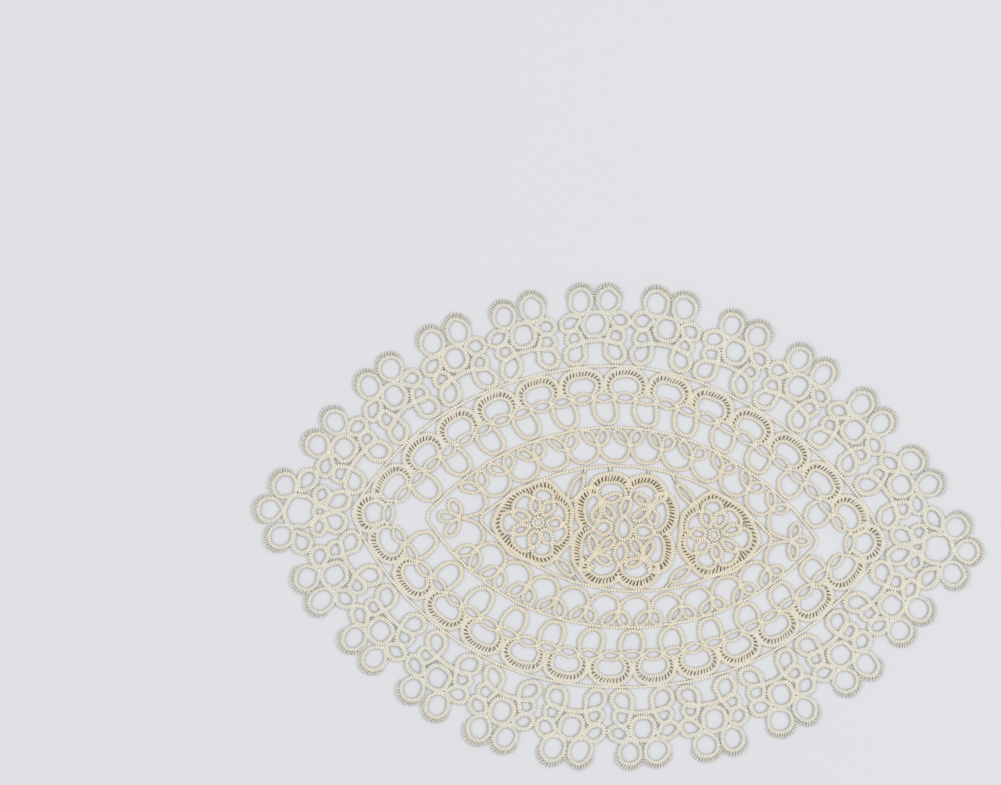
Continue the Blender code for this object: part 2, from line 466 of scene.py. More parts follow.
@dataclass(frozen=True)
class Stitch:
    """One double stitch: two half hitches side by side, tied by a bar on the +Y side.

    Its length is 1 along X, and it is 2 wide and 2 high; a braid gives it real sizes.
    """

    sides: int = 6
    # where the sections stand, and their sizes on the heart's side, on top and on the bar side
    stations: tuple[float, ...] = (0.0, 0.17, 0.5, 0.83, 1.0)
    heart_side: tuple[float, ...] = (0.72, 1.00, 0.96, 1.00, 0.72)
    top: tuple[float, ...] = (0.32, 1.03, 0.92, 1.03, 0.32)
    bar_side: tuple[float, ...] = (0.44, 0.97, 1.07, 0.97, 0.44)
    squareness: float = 0.80      # 1 is round, less is squarer
    gap_reach: float = 0.17       # how far the painted shade of a gap between two stitches reaches
    gap_shade: float = 0.72        # how strong that gap's painted shade is, and how much stronger on the bar side
    gap_lean: float = 0.25
    dip_shade: float = 0.18        # how strong the painted shade in the dip between the two hitches is
    dip_edge: float = 0.6         # how far toward the bars it goes

    def tile(self) -> Tile:
        """Model the stitch.

        Returns:
            The stitch as a tile.
        """
        bm = bmesh.new()
        draw_tube(bm, self.sides, [b - a for a, b in zip(self.stations, self.stations[1:])])
        wrap_tube(bm, self.wrap)
        for vert in bm.verts:
            self.shape(vert.co)
        return tile_of(bm, self.shade_depth)

    def wrap(self, middle: Vector, place: Vector) -> Place:
        """The UV of a place on the plain tube: round it, kept whole over a face, and along it.

        Args:
            middle: the middle of the face.
            place: the place, one of the face's corners.

        Returns:
            The UV.
        """
        about = math.atan2(middle.z, middle.y)
        angle = math.atan2(place.z, place.y)
        angle += TURN * round((about - angle) / TURN)
        return (angle / TURN, place.x)

    def shape(self, place: Vector) -> None:
        """Move one vertex of the plain tube to its place on the stitch.

        Args:
            place: the vertex's place, which is changed.
        """
        station = min(range(len(self.stations)), key=lambda k: abs(self.stations[k] - place.x))
        side = self.bar_side if place.y > 0.0 else self.heart_side
        place.y = math.copysign(abs(place.y) ** self.squareness, place.y) * side[station]
        place.z = math.copysign(abs(place.z) ** self.squareness, place.z) * self.top[station]

    def shade_depth(self, place: Vector) -> float:
        """How much painted shade a place of the stitch gets.

        Args:
            place: the place.

        Returns:
            The painted shade, 0 to 1.
        """
        # painted shade: stronger in the gaps between stitches, more so on the bar side, and in the
        # dip between the hitches
        gap = max(0.0, 1.0 - min(place.x, 1.0 - place.x) / self.gap_reach)
        dip = max(0.0, 1.0 - abs(place.x - 0.5) / self.gap_reach)
        painted_dark = gap * (self.gap_shade + self.gap_lean * place.y)
        return min(1.0, painted_dark + self.dip_shade * dip * max(0.0, self.dip_edge - place.y))


@dataclass(frozen=True)
class Loop:
    """A picot: a narrow loop of bare thread, its legs 1 long along +Y before it turns.

    A braid stretches the legs to the picot's real reach; the rest is in millimetres.
    """

    thread: float = 0.21          # radius of the bare thread
    half_gap: float = 0.15        # half the distance between the legs' middles
    fan: float = 0.09             # how much farther each leg stands out at the far end
    spread: float = 0.03          # how much wider the loop lies at half its height
    shade_flare: float = 0.34           # and underneath, widened so that its painted shade fills the slits between picots
    shade: float = 1.0            # how strong its painted shade is
    under_shade: float = 0.95      # how much painted shade it gets underneath, at its sides and at its foot
    side_shade: float = 0.4
    foot_shade: float = 0.4
    foot_reach: float = 0.6       # how far along the legs the foot's painted shade goes
    level: float = 0.5            # how high over the thread's middle its top starts, of its radius
    middle: float = 0.1           # how near the loop's middle line nothing is widened, of the same
    sides: int = 6
    turn_steps: int = 2

    def tile(self) -> Tile:
        """Model the picot.

        Returns:
            The picot as a tile, with its ends open inside the braid.
        """
        bm = bmesh.new()
        rim = draw_tube(bm, self.sides, [1.0])
        for vert in bm.verts:
            vert.co.y *= self.thread
            vert.co.z *= self.thread
        upright = Matrix.Rotation(math.pi / 2, 3, "Z")
        bmesh.ops.rotate(bm, verts=bm.verts[:], cent=(0, 0, 0), matrix=upright)
        bmesh.ops.translate(bm, verts=bm.verts[:], vec=(self.half_gap, 0, 0))
        turned = bmesh.ops.spin(bm, geom=rim, cent=(0, 1, 0), axis=(0, 0, 1), angle=math.pi,
                                steps=self.turn_steps)["geom_last"]
        extrude_rim(bm, [g for g in turned if isinstance(g, bmesh.types.BMEdge)], (0, -1, 0))
        bmesh.ops.recalc_face_normals(bm, faces=bm.faces[:])
        wrap_tube(bm, self.wrap)
        for vert in bm.verts:
            self.widen(vert.co)
        return tile_of(bm, self.shade_depth)

    def wrap(self, middle: Vector, place: Vector) -> Place:
        """The UV of a place on the loop: round its own leg, and along it."""
        leg = math.copysign(self.half_gap, middle.x)
        return (math.atan2(place.z, place.x - leg) / TURN, place.y)

    def widen(self, place: Vector) -> None:
        """Move one vertex outward, unless it lies on the loop's middle line.

        Args:
            place: the vertex's place, which is changed.
        """
        if abs(place.x) < self.middle * self.thread:
            return
        wider = self.fan * min(max(place.y, 0.0), 1.0)
        # the widened underside carries painted shade into the slits between picots
        if place.z < self.level * self.thread:
            wider += self.shade_flare if place.z < -self.level * self.thread else self.spread
        place.x += math.copysign(wider, place.x)

    def shade_depth(self, place: Vector) -> float:
        """How much painted shade a place of the picot gets.

        Args:
            place: the place.

        Returns:
            The painted shade, 0 to 1.
        """
        # painted shade: strongest underneath, less at the sides and at the foot
        height = place.z / self.thread
        if height < -self.level:
            return self.under_shade * self.shade
        foot = self.foot_shade * max(0.0, self.foot_reach - place.y)
        return self.shade * (foot + (self.side_shade if height < self.level else 0.0))


@dataclass(frozen=True)
class Knot:
    """The tight knot where a ring is drawn together, 1 in radius."""

    cube: float = 1.6
    cuts: int = 2
    roundness: float = 0.45       # 1 is a ball, 0 a cube
    painted_dark: float = 0.50            # the painted shade at its middle, and the painted light that makes its top lighter
    painted_top_light: float = 0.25

    def tile(self) -> Tile:
        """Model the knot: a cube rounded into a lump.

        Returns:
            The knot as a tile.
        """
        bm = bmesh.new()
        bmesh.ops.create_cube(bm, size=self.cube)
        bmesh.ops.subdivide_edges(bm, edges=bm.edges[:], cuts=self.cuts, use_grid_fill=True)
        for vert in bm.verts:
            vert.co *= 1.0 - self.roundness + self.roundness / vert.co.length
        # painted shade, lessened towards the top by painted light
        return tile_of(bm, lambda place: self.painted_dark - self.painted_top_light * place.z)


class Weight(Enum):
    """How stout a braid is: its half width, half height and stitch length in millimetres."""

    RING = (1.14, 0.49, 0.97)
    FRINGED = (0.90, 0.48, 0.97)
    ARCH = (0.92, 0.46, 0.97)
    LEAF = (0.72, 0.43, 0.95)
    PETAL = (0.82, 0.44, 0.93)
    MEDALLION = (0.94, 0.46, 0.97)
    LINE = (0.62, 0.38, 1.25)
    LADDER = (0.78, 0.42, 0.97)
    EDGE = (0.98, 0.42, 0.97)
    LOBE = (0.86, 0.43, 0.97)
    RIM = (1.02, 0.42, 0.97)

    def __init__(self, half_width: float, half_height: float, stitch: float) -> None:
        """Name the three sizes.

        Args:
            half_width: half the braid's width.
            half_height: half its height.
            stitch: from one double stitch to the next.
        """
        self.half_width = half_width
        self.half_height = half_height
        self.stitch = stitch


class Picots(NamedTuple):
    """A row of picots along a braid, on its bar side."""

    reach: tuple[Place, ...]      # (share of the braid, how far the picot stands out)
    pitch: float = 1.16
    slant: float = 0.36           # how far it leans along the braid, per its length
    loop: Loop = Loop()

    def turned(self) -> "Picots":
        """The same row on a braid that runs the other way."""
        return self._replace(reach=tuple((1.0 - share, size) for share, size in self.reach[::-1]))


FRINGE = Picots(
    reach=((0.30, 1.4), (0.37, 2.0), (0.5, 2.4), (0.63, 2.0), (0.71, 1.3)),
    pitch=0.87,
    slant=0.34,
    loop=Loop(thread=0.20, half_gap=0.16, fan=0.0, spread=0.0, shade_flare=0.0, shade=0.45),
)


# ---------------------------------------------------------------- working the lace


@dataclass(frozen=True)
class Hover:
    """How far the lace lifts off the table: a height and two ripples, in millimetres."""

    height: float = 0.17
    slow: float = 0.10
    fast: float = 0.06
    # the two waves of each ripple: how fast they run along and across, and where they start
    slow_waves: tuple[tuple[float, ...], ...] = ((0.113, 0.0, 0.7), (0.0, 0.149, 2.1))
    fast_waves: tuple[tuple[float, ...], ...] = ((0.41, 0.33, 0.9), (0.29, -0.47, 0.0))

    def at(self, x: np.ndarray, y: np.ndarray) -> np.ndarray:
        """How far the lace is lifted at laid places.

        Args:
            x: the places' distances along, in millimetres.
            y: and across.

        Returns:
            The lifts in millimetres.
        """
        slow, fast = (
            math.prod(np.sin(along * x + across * y + start) for along, across, start in waves)
            for waves in (self.slow_waves, self.fast_waves))
        return self.height + self.slow * slow + self.fast * fast


@dataclass(frozen=True)
class Hand:
    """How uneven the handwork is."""

    swell: float = 0.07           # the spread of a stitch's size, of its sway and of its roll
    sway: float = 0.05
    roll: float = 0.14
    lift: float = 0.10            # how much higher one braid lies than another, at most
    step: float = 0.04            # the spread of a picot's place, per the pitch, and of its lean
    lean: float = 0.025
    reach: Place = (0.94, 1.05)   # between which shares a picot's size and width lie
    width: Place = (0.9, 1.12)
    ring: Place = (0.93, 1.07)    # and a ring's sizes, and how far it is shifted at most
    shift: float = 0.34
    stray: float = 0.16           # how far a line's corners stray, and a long line's
    line_stray: float = 0.10


@dataclass
class Work:
    """One piece of lace in the making; braids, picots and knots are added to it."""

    name: str
    lay: Lay = Lay()
    hover: Hover = Hover()
    hand: Hand = Hand()
    rest_height: float = 0.02     # how far the lowest thread lies above the table
    link_height: float = 0.40     # how high a link's middle lies
    knot_height: float = 0.46     # how high a knot's middle lies, and half its own height
    knot_half: float = 0.50
    foot: float = 0.62            # where a picot leaves its braid, of the half width
    turn_room: float = 0.4        # what a picot's reach leaves for its turn
    catch: float = 0.1            # how far a long picot reaches past the outer chain's middle
    chain_step: float = 1.2       # from one corner of an outer chain to the next
    chain_points: int = 4         # the points that smooth the chain from one corner to the next
    fewest_corners: int = 8
    fewest_stitches: int = 3
    fewest_picots: int = 2
    stitches: int = 0
    picots: int = 0
    batches: list[tuple[np.ndarray, ...]] = field(default_factory=list)
    total: int = 0

    def __post_init__(self) -> None:
        """Prepare the dice and the tiles."""
        self.dice = np.random.default_rng(SEEDS[self.name])
        self.stitch_tile = Stitch().tile()
        self.loop_tiles = {loop: loop.tile() for loop in (Loop(), FRINGE.loop)}
        self.knot_tile = Knot().tile()

    # -- making

    def add(self, tile: Tile, x: np.ndarray, y: np.ndarray, z: np.ndarray,
            along: np.ndarray | float = 0.0) -> None:
        """Add copies of a tile.

        Args:
            tile: what is repeated.
            x: where the copies' vertices lie, in millimetres, as (copy, vertex) or for one copy.
            y: the same.
            z: the same, above the table; none goes below it.
            along: what each copy's V coordinate starts at.
        """
        placed = np.stack(np.atleast_2d(x, y, z), axis=2) * MM
        placed[..., 2] = np.maximum(placed[..., 2], 0.0)
        copies, count = placed.shape[:2]
        starts = self.total + np.arange(copies) * count
        wrap = np.repeat(tile.wrap[None], copies, axis=0)
        wrap[..., 1] += np.reshape(along, (-1, 1, 1))
        tone = 0.5 * self.dice.random() + 0.5 * self.dice.random(copies)
        self.batches.append((
            placed.reshape(-1, 3), (tile.faces[None] + starts[:, None, None]).reshape(-1, 4),
            wrap.reshape(-1, 2), np.tile(tile.painted_shade, copies), np.repeat(tone, count)))
        self.total += copies * count

    def strayed(self, corners: np.ndarray, closed: bool, reach: float) -> np.ndarray:
        """The corners of a line, a little astray as by hand.

        Args:
            corners: the corners, one a row.
            closed: whether the line comes back to its start; otherwise its ends are held.
            reach: how far they stray at most, in millimetres.

        Returns:
            The strayed corners.
        """
        stray = self.dice.uniform(-reach, reach, corners.shape)
        if not closed:
            stray[0] = stray[-1] = 0.0
        return corners + stray

    def braid(self, corners: np.ndarray, heart: Place, weight: Weight = Weight.RING,
              picots: Picots | None = None, closed: bool = False, lift: float = 0.0) -> None:
        """Work a braid through design places.

        Args:
            corners: the places, one a row.
            heart: a design place that the braid's bars and picots face away from.
            weight: how stout the braid is.
            picots: the picots along it.
            closed: whether it comes back to its start.
            lift: how much higher than its neighbours it lies, in millimetres.
        """
        corners = self.strayed(corners, closed, self.hand.stray)
        path = self.lay.placed(smooth_line(corners, closed))
        self.work_path(path, self.lay.placed(np.array([heart]))[0], weight, picots, closed, lift)

    def work_path(self, path: np.ndarray, heart: np.ndarray, weight: Weight,
                  picots: Picots | None, closed: bool, lift: float) -> None:
        """Work a braid along laid points, its bars on the left of the way it runs.

        Args:
            path: the points in millimetres, one a row.
            heart: a laid place that the bars face away from.
            weight: how stout the braid is.
            picots: the picots along it.
            closed: whether it comes back to its start.
            lift: how much higher than its neighbours it lies, in millimetres.
        """
        ahead = np.gradient(path, axis=0)
        to_heart = heart - path
        if (ahead[:, 0] * to_heart[:, 1] - ahead[:, 1] * to_heart[:, 0]).sum() > 0.0:
            path = path[::-1]
            picots = picots and picots.turned()
        line = Line.through(path, closed)
        lift += self.dice.uniform(0.0, self.hand.lift)
        self.work_stitches(line, weight, closed, lift)
        if picots:
            self.work_picots(line, weight, picots, lift)

    def work_stitches(self, line: Line, weight: Weight, closed: bool, lift: float) -> None:
        """Repeat the stitch along a line.

        Args:
            line: the laid line.
            weight: how stout the braid is.
            closed: whether the line comes back to its start.
            lift: how much higher than its neighbours the braid lies, in millimetres.
        """
        count = max(self.fewest_stitches, round(line.length / weight.stitch))
        self.stitches += count
        tile = self.stitch_tile
        place = np.arange(count)[:, None] + tile.points[None, :, 0]
        stations = np.arange(count + 1.0)
        swell, sway, roll = (self.dice.normal(0.0, size, count + 1)
                             for size in (self.hand.swell, self.hand.sway, self.hand.roll))
        if closed:
            for wobble in (swell, sway, roll):
                wobble[-1] = wobble[0]
        at = line.at(place / count)
        size = 1.0 + np.interp(place, stations, swell)
        across = tile.points[None, :, 1] * size * weight.half_width
        across = across + np.interp(place, stations, sway)
        height = tile.points[None, :, 2] * size * weight.half_height
        height = height + np.interp(place, stations, roll) * across
        x, y = at.beside(0.0, across)
        z = height + weight.half_height + self.rest_height + lift + self.hover.at(at.x, at.y)
        self.add(tile, x, y, z, np.arange(count, dtype=float))

    def work_picots(self, line: Line, weight: Weight, picots: Picots, lift: float) -> None:
        """Stand picots on a line's bar side.

        Args:
            line: the laid line.
            weight: how stout its braid is.
            picots: the row.
            lift: how much higher than its neighbours the braid lies, in millimetres.
        """
        shares, reaches = np.array(picots.reach).T
        row = (shares[-1] - shares[0]) * line.length
        count = max(self.fewest_picots, round(row / picots.pitch) + 1)
        self.picots += count
        share = np.linspace(shares[0], shares[-1], count)
        step = self.hand.step * picots.pitch / line.length
        share = share + self.dice.normal(0.0, step, count)
        reach = np.interp(share, shares, reaches) * self.dice.uniform(*self.hand.reach, count)
        foot = self.foot * weight.half_width
        tile = self.loop_tiles[picots.loop]
        legs = np.clip(tile.points[:, 1], 0.0, 1.0)
        beyond = tile.points[:, 1] - legs
        lean = self.dice.normal(picots.slant, self.hand.lean, count)[:, None]
        out = legs[None] * (reach - self.turn_room)[:, None] + beyond[None]
        width = self.dice.uniform(*self.hand.width, count)[:, None]
        sideways = tile.points[None, :, 0] * width + lean * out
        at = line.at(share[:, None])
        x, y = at.beside(sideways, foot + out)
        z = tile.points[None, :, 2] + weight.half_height + self.rest_height + lift
        self.add(tile, x, y, z + self.hover.at(at.x, at.y))

    def ladder(self, corners: np.ndarray, heart: Place, offsets: Sequence[Place],
               lift: float = 0.0) -> None:
        """Work a braid with long picots and the outer chain that catches them.

        Args:
            corners: the design places that the braid passes, one a row.
            heart: a design place that the picots face away from.
            offsets: (share of the braid, distance out to the outer chain's middle).
            lift: how much higher than its neighbours it lies, in millimetres.
        """
        weight = Weight.LADDER
        corners = self.strayed(corners, False, self.hand.stray)
        path = self.lay.placed(smooth_line(corners))
        place = self.lay.placed(np.array([heart]))[0]
        shift = Weight.RING.half_width - weight.half_width
        path = path - outward(path, place) * shift
        shares, sizes = np.array(offsets).T
        sizes = sizes + shift
        reach = sizes - self.foot * weight.half_width + self.catch
        self.work_path(path, place, weight, Picots(tuple(zip(shares, reach))), False, lift)
        distance = distances(path)
        count = max(self.fewest_corners, int(distance[-1] / self.chain_step))
        steps = np.linspace(shares[0], shares[-1], count)
        along = steps * distance[-1]
        at = np.stack([np.interp(along, distance, path[:, k]) for k in (0, 1)], axis=1)
        chain = at + outward(at, place) * np.interp(steps, shares, sizes)[:, None]
        chain = smooth_line(chain, steps=self.chain_points)
        self.work_path(chain, place, Weight.EDGE, None, False, lift)

    def line_round(self, radius: float) -> None:
        """Work a closed line that follows both long arcs.

        Args:
            radius: the arcs' radius.
        """
        corners = self.strayed(lens_line(radius), True, self.hand.line_stray)
        path, heart = (self.lay.placed(p) for p in (smooth_line(corners, True), np.zeros((1, 2))))
        self.work_path(path, heart[0], Weight.LINE, None, True, 0.0)

    def knot(self, place: Place, size: float = 0.72) -> None:
        """Draw a knot tight at a design place.

        Args:
            place: the place.
            size: the knot's radius in millimetres.
        """
        x, y = self.lay.placed(np.array([place]))[0]
        spin = np.array(Matrix.Rotation(self.dice.uniform(0.0, math.pi), 3, "Z"))
        lump = self.knot_tile.points @ spin.T * np.array((size, size, self.knot_half))
        z = self.knot_height + self.rest_height + self.hover.at(np.array(x), np.array(y))
        self.add(self.knot_tile, lump[:, 0] + x, lump[:, 1] + y, lump[:, 2] + float(z))

    def knots(self, spot: Spot, places: Sequence[Place]) -> None:
        """Draw knots tight beside a spot, on both sides of its axis.

        Args:
            spot: the spot.
            places: places beside it on one side.
        """
        for along, out in places:
            for across in (along, -along):
                self.knot(spot.one((across, out)))

    def link(self, start: Place, end: Place) -> None:
        """Join two design places with a loop of bare thread.

        Args:
            start: where the loop starts.
            end: where its legs end.
        """
        first, last = self.lay.placed(np.array([start, end]))
        length = float(np.hypot(*(last - first)))
        tile = self.loop_tiles[Loop()]
        legs = np.clip(tile.points[:, 1], 0.0, 1.0)
        out = legs * length + tile.points[:, 1] - legs
        x, y = Station(*first, *((last - first) / length)).beside(out, -tile.points[:, 0])
        z = tile.points[:, 2] + self.link_height + self.rest_height + self.hover.at(x, y)
        self.add(tile, x, y, z)

    # -- finishing

    def piece(self, material: bpy.types.Material) -> bpy.types.Object:
        """The finished piece as an object at the origin, dressed and riding on the sheet's body.

        Args:
            material: its finish.

        Returns:
            The piece.
        """
        points, faces, wraps, painted_shades, tones = (np.concatenate(p) for p in zip(*self.batches))
        mesh = bpy.data.meshes.new(self.name)
        mesh.from_pydata(points, [], faces)
        wrap = mesh.uv_layers.new(name="wrap")
        wrap.data.foreach_set("uv", wraps.astype(np.float32).ravel())
        # the first attribute carries each vertex's painted shade to the finish
        for name, values in (("painted_shade", painted_shades), ("tone", tones)):
            layer = mesh.attributes.new(name, "FLOAT", "POINT")
            layer.data.foreach_set("value", values.astype(np.float32))
        bm = bmesh.new()
        bm.from_mesh(mesh)
        bmesh.ops.remove_doubles(bm, verts=bm.verts[:], dist=MERGE)
        rims = [edge for edge in bm.edges if edge.is_boundary]
        bmesh.ops.holes_fill(bm, edges=rims, sides=OPEN_END)
        for face in bm.faces:
            face.smooth = True
        bm.to_mesh(mesh)
        bm.free()
        mesh.materials.append(material)
        made = bpy.data.objects.new(self.name, mesh)
        bpy.context.scene.collection.objects.link(made)
        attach(made, "root")
        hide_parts(NODE)
        triangles = sum(len(p.vertices) - 2 for p in mesh.polygons)
        LOG.info("%s: %d stitches, %d picots, %d triangles",
                 self.name, self.stitches, self.picots, triangles)
        return made


# ---------------------------------------------------------------- the rounds


class RingPlan(NamedTuple):
    """A ring of a repeat: where it is drawn together, its middle and its half sizes."""

    base: Place
    centre: Place
    along: float
    across: float
    weight: Weight = Weight.RING
    picots: Picots | None = None


class ChainPlan(NamedTuple):
    """A chain of a repeat: the places it passes, and what its bars face away from."""

    line: tuple[Place, ...]
    heart: Place
    weight: Weight = Weight.RING


def fringed(base: Place, centre: Place, along: float, across: float) -> RingPlan:
    """An outermost ring of the border, with its fringe of picots."""
    return RingPlan(base, centre, along, across, Weight.FRINGED, FRINGE)


def work_rings(work: Work, spot: Spot, plans: Sequence[RingPlan], both: bool = True) -> None:
    """Work rings at a spot.

    Args:
        work: the lace in the making.
        spot: where the repeat is.
        plans: the rings.
        both: whether they are worked on both sides of the spot's axis.
    """
    hand = work.hand
    for plan in plans:
        for side in (1.0, -1.0) if both else (1.0,):
            along, across = work.dice.uniform(*hand.ring, 2)
            shift = work.dice.uniform(-hand.shift, hand.shift, 2)
            base = (side * plan.base[0], plan.base[1])
            centre = (side * plan.centre[0] + shift[0], plan.centre[1] + shift[1])
            line = ring_line(base, centre, along * plan.along, across * plan.across)
            work.braid(spot.at(line), spot.one(centre), plan.weight, plan.picots)


def work_chains(work: Work, spot: Spot, plans: Sequence[ChainPlan], both: bool = False) -> None:
    """Work chains at a spot.

    Args:
        work: the lace in the making.
        spot: where the repeat is.
        plans: the chains.
        both: whether they are worked on the other side of the spot's axis too.
    """
    for plan in plans:
        for side in (1.0, -1.0) if both else (1.0,):
            line = [(side * along, out) for along, out in plan.line]
            heart = spot.one((side * plan.heart[0], plan.heart[1]))
            work.braid(spot.at(line), heart, plan.weight)


UNIT_RINGS = (
    RingPlan((4.8, 137.8), (8.2, 133.1), 4.4, 3.95),
    RingPlan((5.0, 138.4), (9.0, 139.8), 3.1, 3.1),
    RingPlan((5.7, 147.8), (10.4, 146.5), 3.8, 3.35),
    fringed((5.2, 149.4), (5.9, 154.7), 5.1, 4.75),
)
UNIT_CHAIN = ChainPlan(symmetric(((0.0, 138.2), (2.4, 138.1), (4.7, 137.8))), (0.0, 133.0))
UNIT_MIDDLE = (
    (0.0, 139.9), (2.6, 140.5), (4.4, 142.2), (4.9, 144.9), (4.5, 147.6), (2.6, 149.5),
    (0.0, 150.0), (-2.6, 149.5), (-4.5, 147.6), (-4.9, 144.9), (-4.4, 142.2), (-2.6, 140.5))
UNIT_HEART = (0.0, 145.0)
UNIT_KNOTS = ((4.7, 138.0), (5.3, 149.2))

END_RINGS = (
    RingPlan((1.7, 123.4), (4.4, 117.8), 4.4, 3.8),
    RingPlan((2.6, 125.9), (6.6, 124.7), 3.1, 3.0),
    RingPlan((8.0, 134.8), (13.1, 131.0), 4.4, 3.6),
    fringed((6.8, 136.0), (10.2, 140.4), 4.9, 4.7),
)
TIP_RING = fringed((0.0, 140.4), (0.0, 146.2), 5.0, 4.8)
END_HEART = (0.0, 133.0)
END_CHAINS = (
    ChainPlan(symmetric(((0.0, 127.6), (2.6, 126.6))), END_HEART),
    ChainPlan(symmetric(((0.0, 122.2), (1.7, 123.4))), (0.0, 118.0)),
)
END_WALLS = (
    ChainPlan(((1.9, 123.9), (2.3, 126.4), (4.6, 128.4), (6.1, 131.2), (6.3, 134.2), (6.6, 136.2)),
              END_HEART),
    ChainPlan(((6.6, 136.2), (5.0, 138.0), (2.6, 139.4), (0.0, 140.2)), END_HEART),
)
END_KNOTS = ((1.9, 123.7), (2.6, 126.2), (6.8, 136.0))
TIP_KNOT = (0.0, 140.3)


@dataclass
class Border:
    """The open border: ten units on each long side and one at each pointed end."""

    unit_turn: float = 11.9
    units_a_side: int = 10

    def side(self, side: int, name: str) -> Work:
        """Work the units of one long side.

        Args:
            side: 1 for the upper side, -1 for the lower.
            name: the piece's name.

        Returns:
            The finished work.
        """
        work = Work(name)
        first = -(self.units_a_side - 1) / 2.0
        for index in range(self.units_a_side):
            spot = ArcSpot(side, (first + index) * self.unit_turn)
            work_rings(work, spot, UNIT_RINGS)
            work_chains(work, spot, [UNIT_CHAIN])
            work.braid(spot.at(UNIT_MIDDLE), spot.one(UNIT_HEART), closed=True)
            work.knots(spot, UNIT_KNOTS)
        return work

    def end(self, facing: float, name: str) -> Work:
        """Work the unit of one pointed end.

        Args:
            facing: the way the end faces, in degrees.
            name: the piece's name.

        Returns:
            The finished work.
        """
        work = Work(name)
        spot = TurnedSpot(facing=facing)
        work_rings(work, spot, END_RINGS)
        work_rings(work, spot, [TIP_RING], both=False)
        work_chains(work, spot, END_CHAINS)
        work_chains(work, spot, END_WALLS, both=True)
        work.knots(spot, END_KNOTS)
        work.knot(spot.one(TIP_KNOT))
        return work


SCALLOP_TURN = 8.85           # degrees from one scallop, or arch, to the next
SCALLOPS_BESIDE = 6           # on each side of the middle one
SCALLOP_LINE = symmetric(
    ((0.0, 123.5), (3.2, 123.1), (5.7, 121.7), (6.6, 119.2), (6.0, 116.8), (4.2, 114.9)))
SCALLOP_HEART = (0.0, 118.5)
SCALLOP_OFFSETS = ((0.10, 1.9), (0.20, 2.3), (0.34, 2.95), (0.5, 2.8), (0.66, 2.95), (0.80, 2.3),
                   (0.90, 1.9))
END_SCALLOP_LINE = symmetric(
    ((0.0, 107.5), (2.4, 107.1), (4.5, 105.5), (5.4, 102.8), (4.9, 100.0), (3.2, 98.2)))
END_SCALLOP_HEART = (0.0, 102.5)
ARCH_LINE = symmetric(((0.0, 103.4), (2.9, 104.4), (4.5, 107.1), (4.8, 110.3), (4.1, 113.2)))
ARCH_HEART = (0.0, 109.0)


@dataclass
class ScallopRound:
    """The row of leaves, the scallops that stand on it and the line that the border hangs on."""

    turn: float = SCALLOP_TURN
    from_centre: int = SCALLOPS_BESIDE
    leaf_radius: float = 114.2
    end_leaf_radius: float = 96.6
    leaf_half_length: float = 4.1
    leaf_half_width: float = 1.9
    knot_gap: float = 0.25        # from a leaf's point to the middle of its knot
    leaf_knot: float = 0.6
    end_lift: float = 0.12        # how much higher the scallops at the points lie

    def work(self, name: str) -> Work:
        """Work the leaves and scallops of both sides and both ends, and the line.

        Args:
            name: the piece's name.

        Returns:
            The finished work.
        """
        work = Work(name)
        for side in SIDES:
            for place in range(-self.from_centre, self.from_centre + 1):
                spot = ArcSpot(side, place * self.turn)
                work.ladder(spot.at(SCALLOP_LINE), spot.one(SCALLOP_HEART), SCALLOP_OFFSETS)
            for place in range(-2 * self.from_centre, 2 * self.from_centre + 1):
                self.leaf(work, ArcSpot(side, place * self.turn / 2.0), self.leaf_radius)
        for facing in POINTS:
            spot = TurnedSpot(facing=facing)
            self.leaf(work, spot, self.end_leaf_radius)
            work.ladder(spot.at(END_SCALLOP_LINE), spot.one(END_SCALLOP_HEART), SCALLOP_OFFSETS,
                        self.end_lift)
        work.line_round(BORDER_LINE)
        return work

    def leaf(self, work: Work, spot: Spot, radius: float) -> None:
        """Work one leaf at a spot.

        Args:
            work: the lace in the making.
            spot: where the leaf is.
            radius: how far out its middle lies.
        """
        middle = (0.0, radius)
        line = leaf_line(middle, self.leaf_half_length, self.leaf_half_width)
        work.braid(spot.at(line), spot.one(middle), Weight.LEAF)
        work.knot(spot.one((-self.leaf_half_length - self.knot_gap, radius)), self.leaf_knot)


@dataclass
class ArchRound:
    """The tall arches that stand inside the row of leaves."""

    turn: float = SCALLOP_TURN
    from_centre: int = SCALLOPS_BESIDE

    def work(self, name: str) -> Work:
        """Work the arches of both sides.

        Args:
            name: the piece's name.

        Returns:
            The finished work.
        """
        work = Work(name)
        for side in SIDES:
            for place in range(-self.from_centre, self.from_centre):
                spot = ArcSpot(side, (place + 0.5) * self.turn)
                work.braid(spot.at(ARCH_LINE), spot.one(ARCH_HEART), Weight.ARCH)
        return work


CLOVER_PETAL = RingPlan((0.5, 95.0), (2.9, 98.2), 3.35, 2.0, Weight.PETAL)
CLOVER_KNOT = (0.0, 94.8)
CLOVER_ARC = symmetric(((0.0, 88.3), (2.8, 88.9), (5.0, 90.6), (6.0, 92.6), (6.5, 94.8)))
CLOVER_HEART = (0.0, 94.0)
CLOVER_END_PETALS = RingPlan((0.6, 69.6), (4.3, 71.4), 3.3, 2.0, Weight.PETAL)
CLOVER_END_PETAL = RingPlan((0.0, 69.8), (0.0, 74.2), 3.3, 2.0, Weight.PETAL)
CLOVER_END_ARC = ChainPlan(
    ((12.3, 60.9), (9.0, 59.3), (5.6, 59.3), (2.7, 61.0), (1.2, 64.4), (0.2, 68.6)),
    (6.0, 65.0), Weight.PETAL)
CLOVER_END_KNOT = (0.0, 69.3)


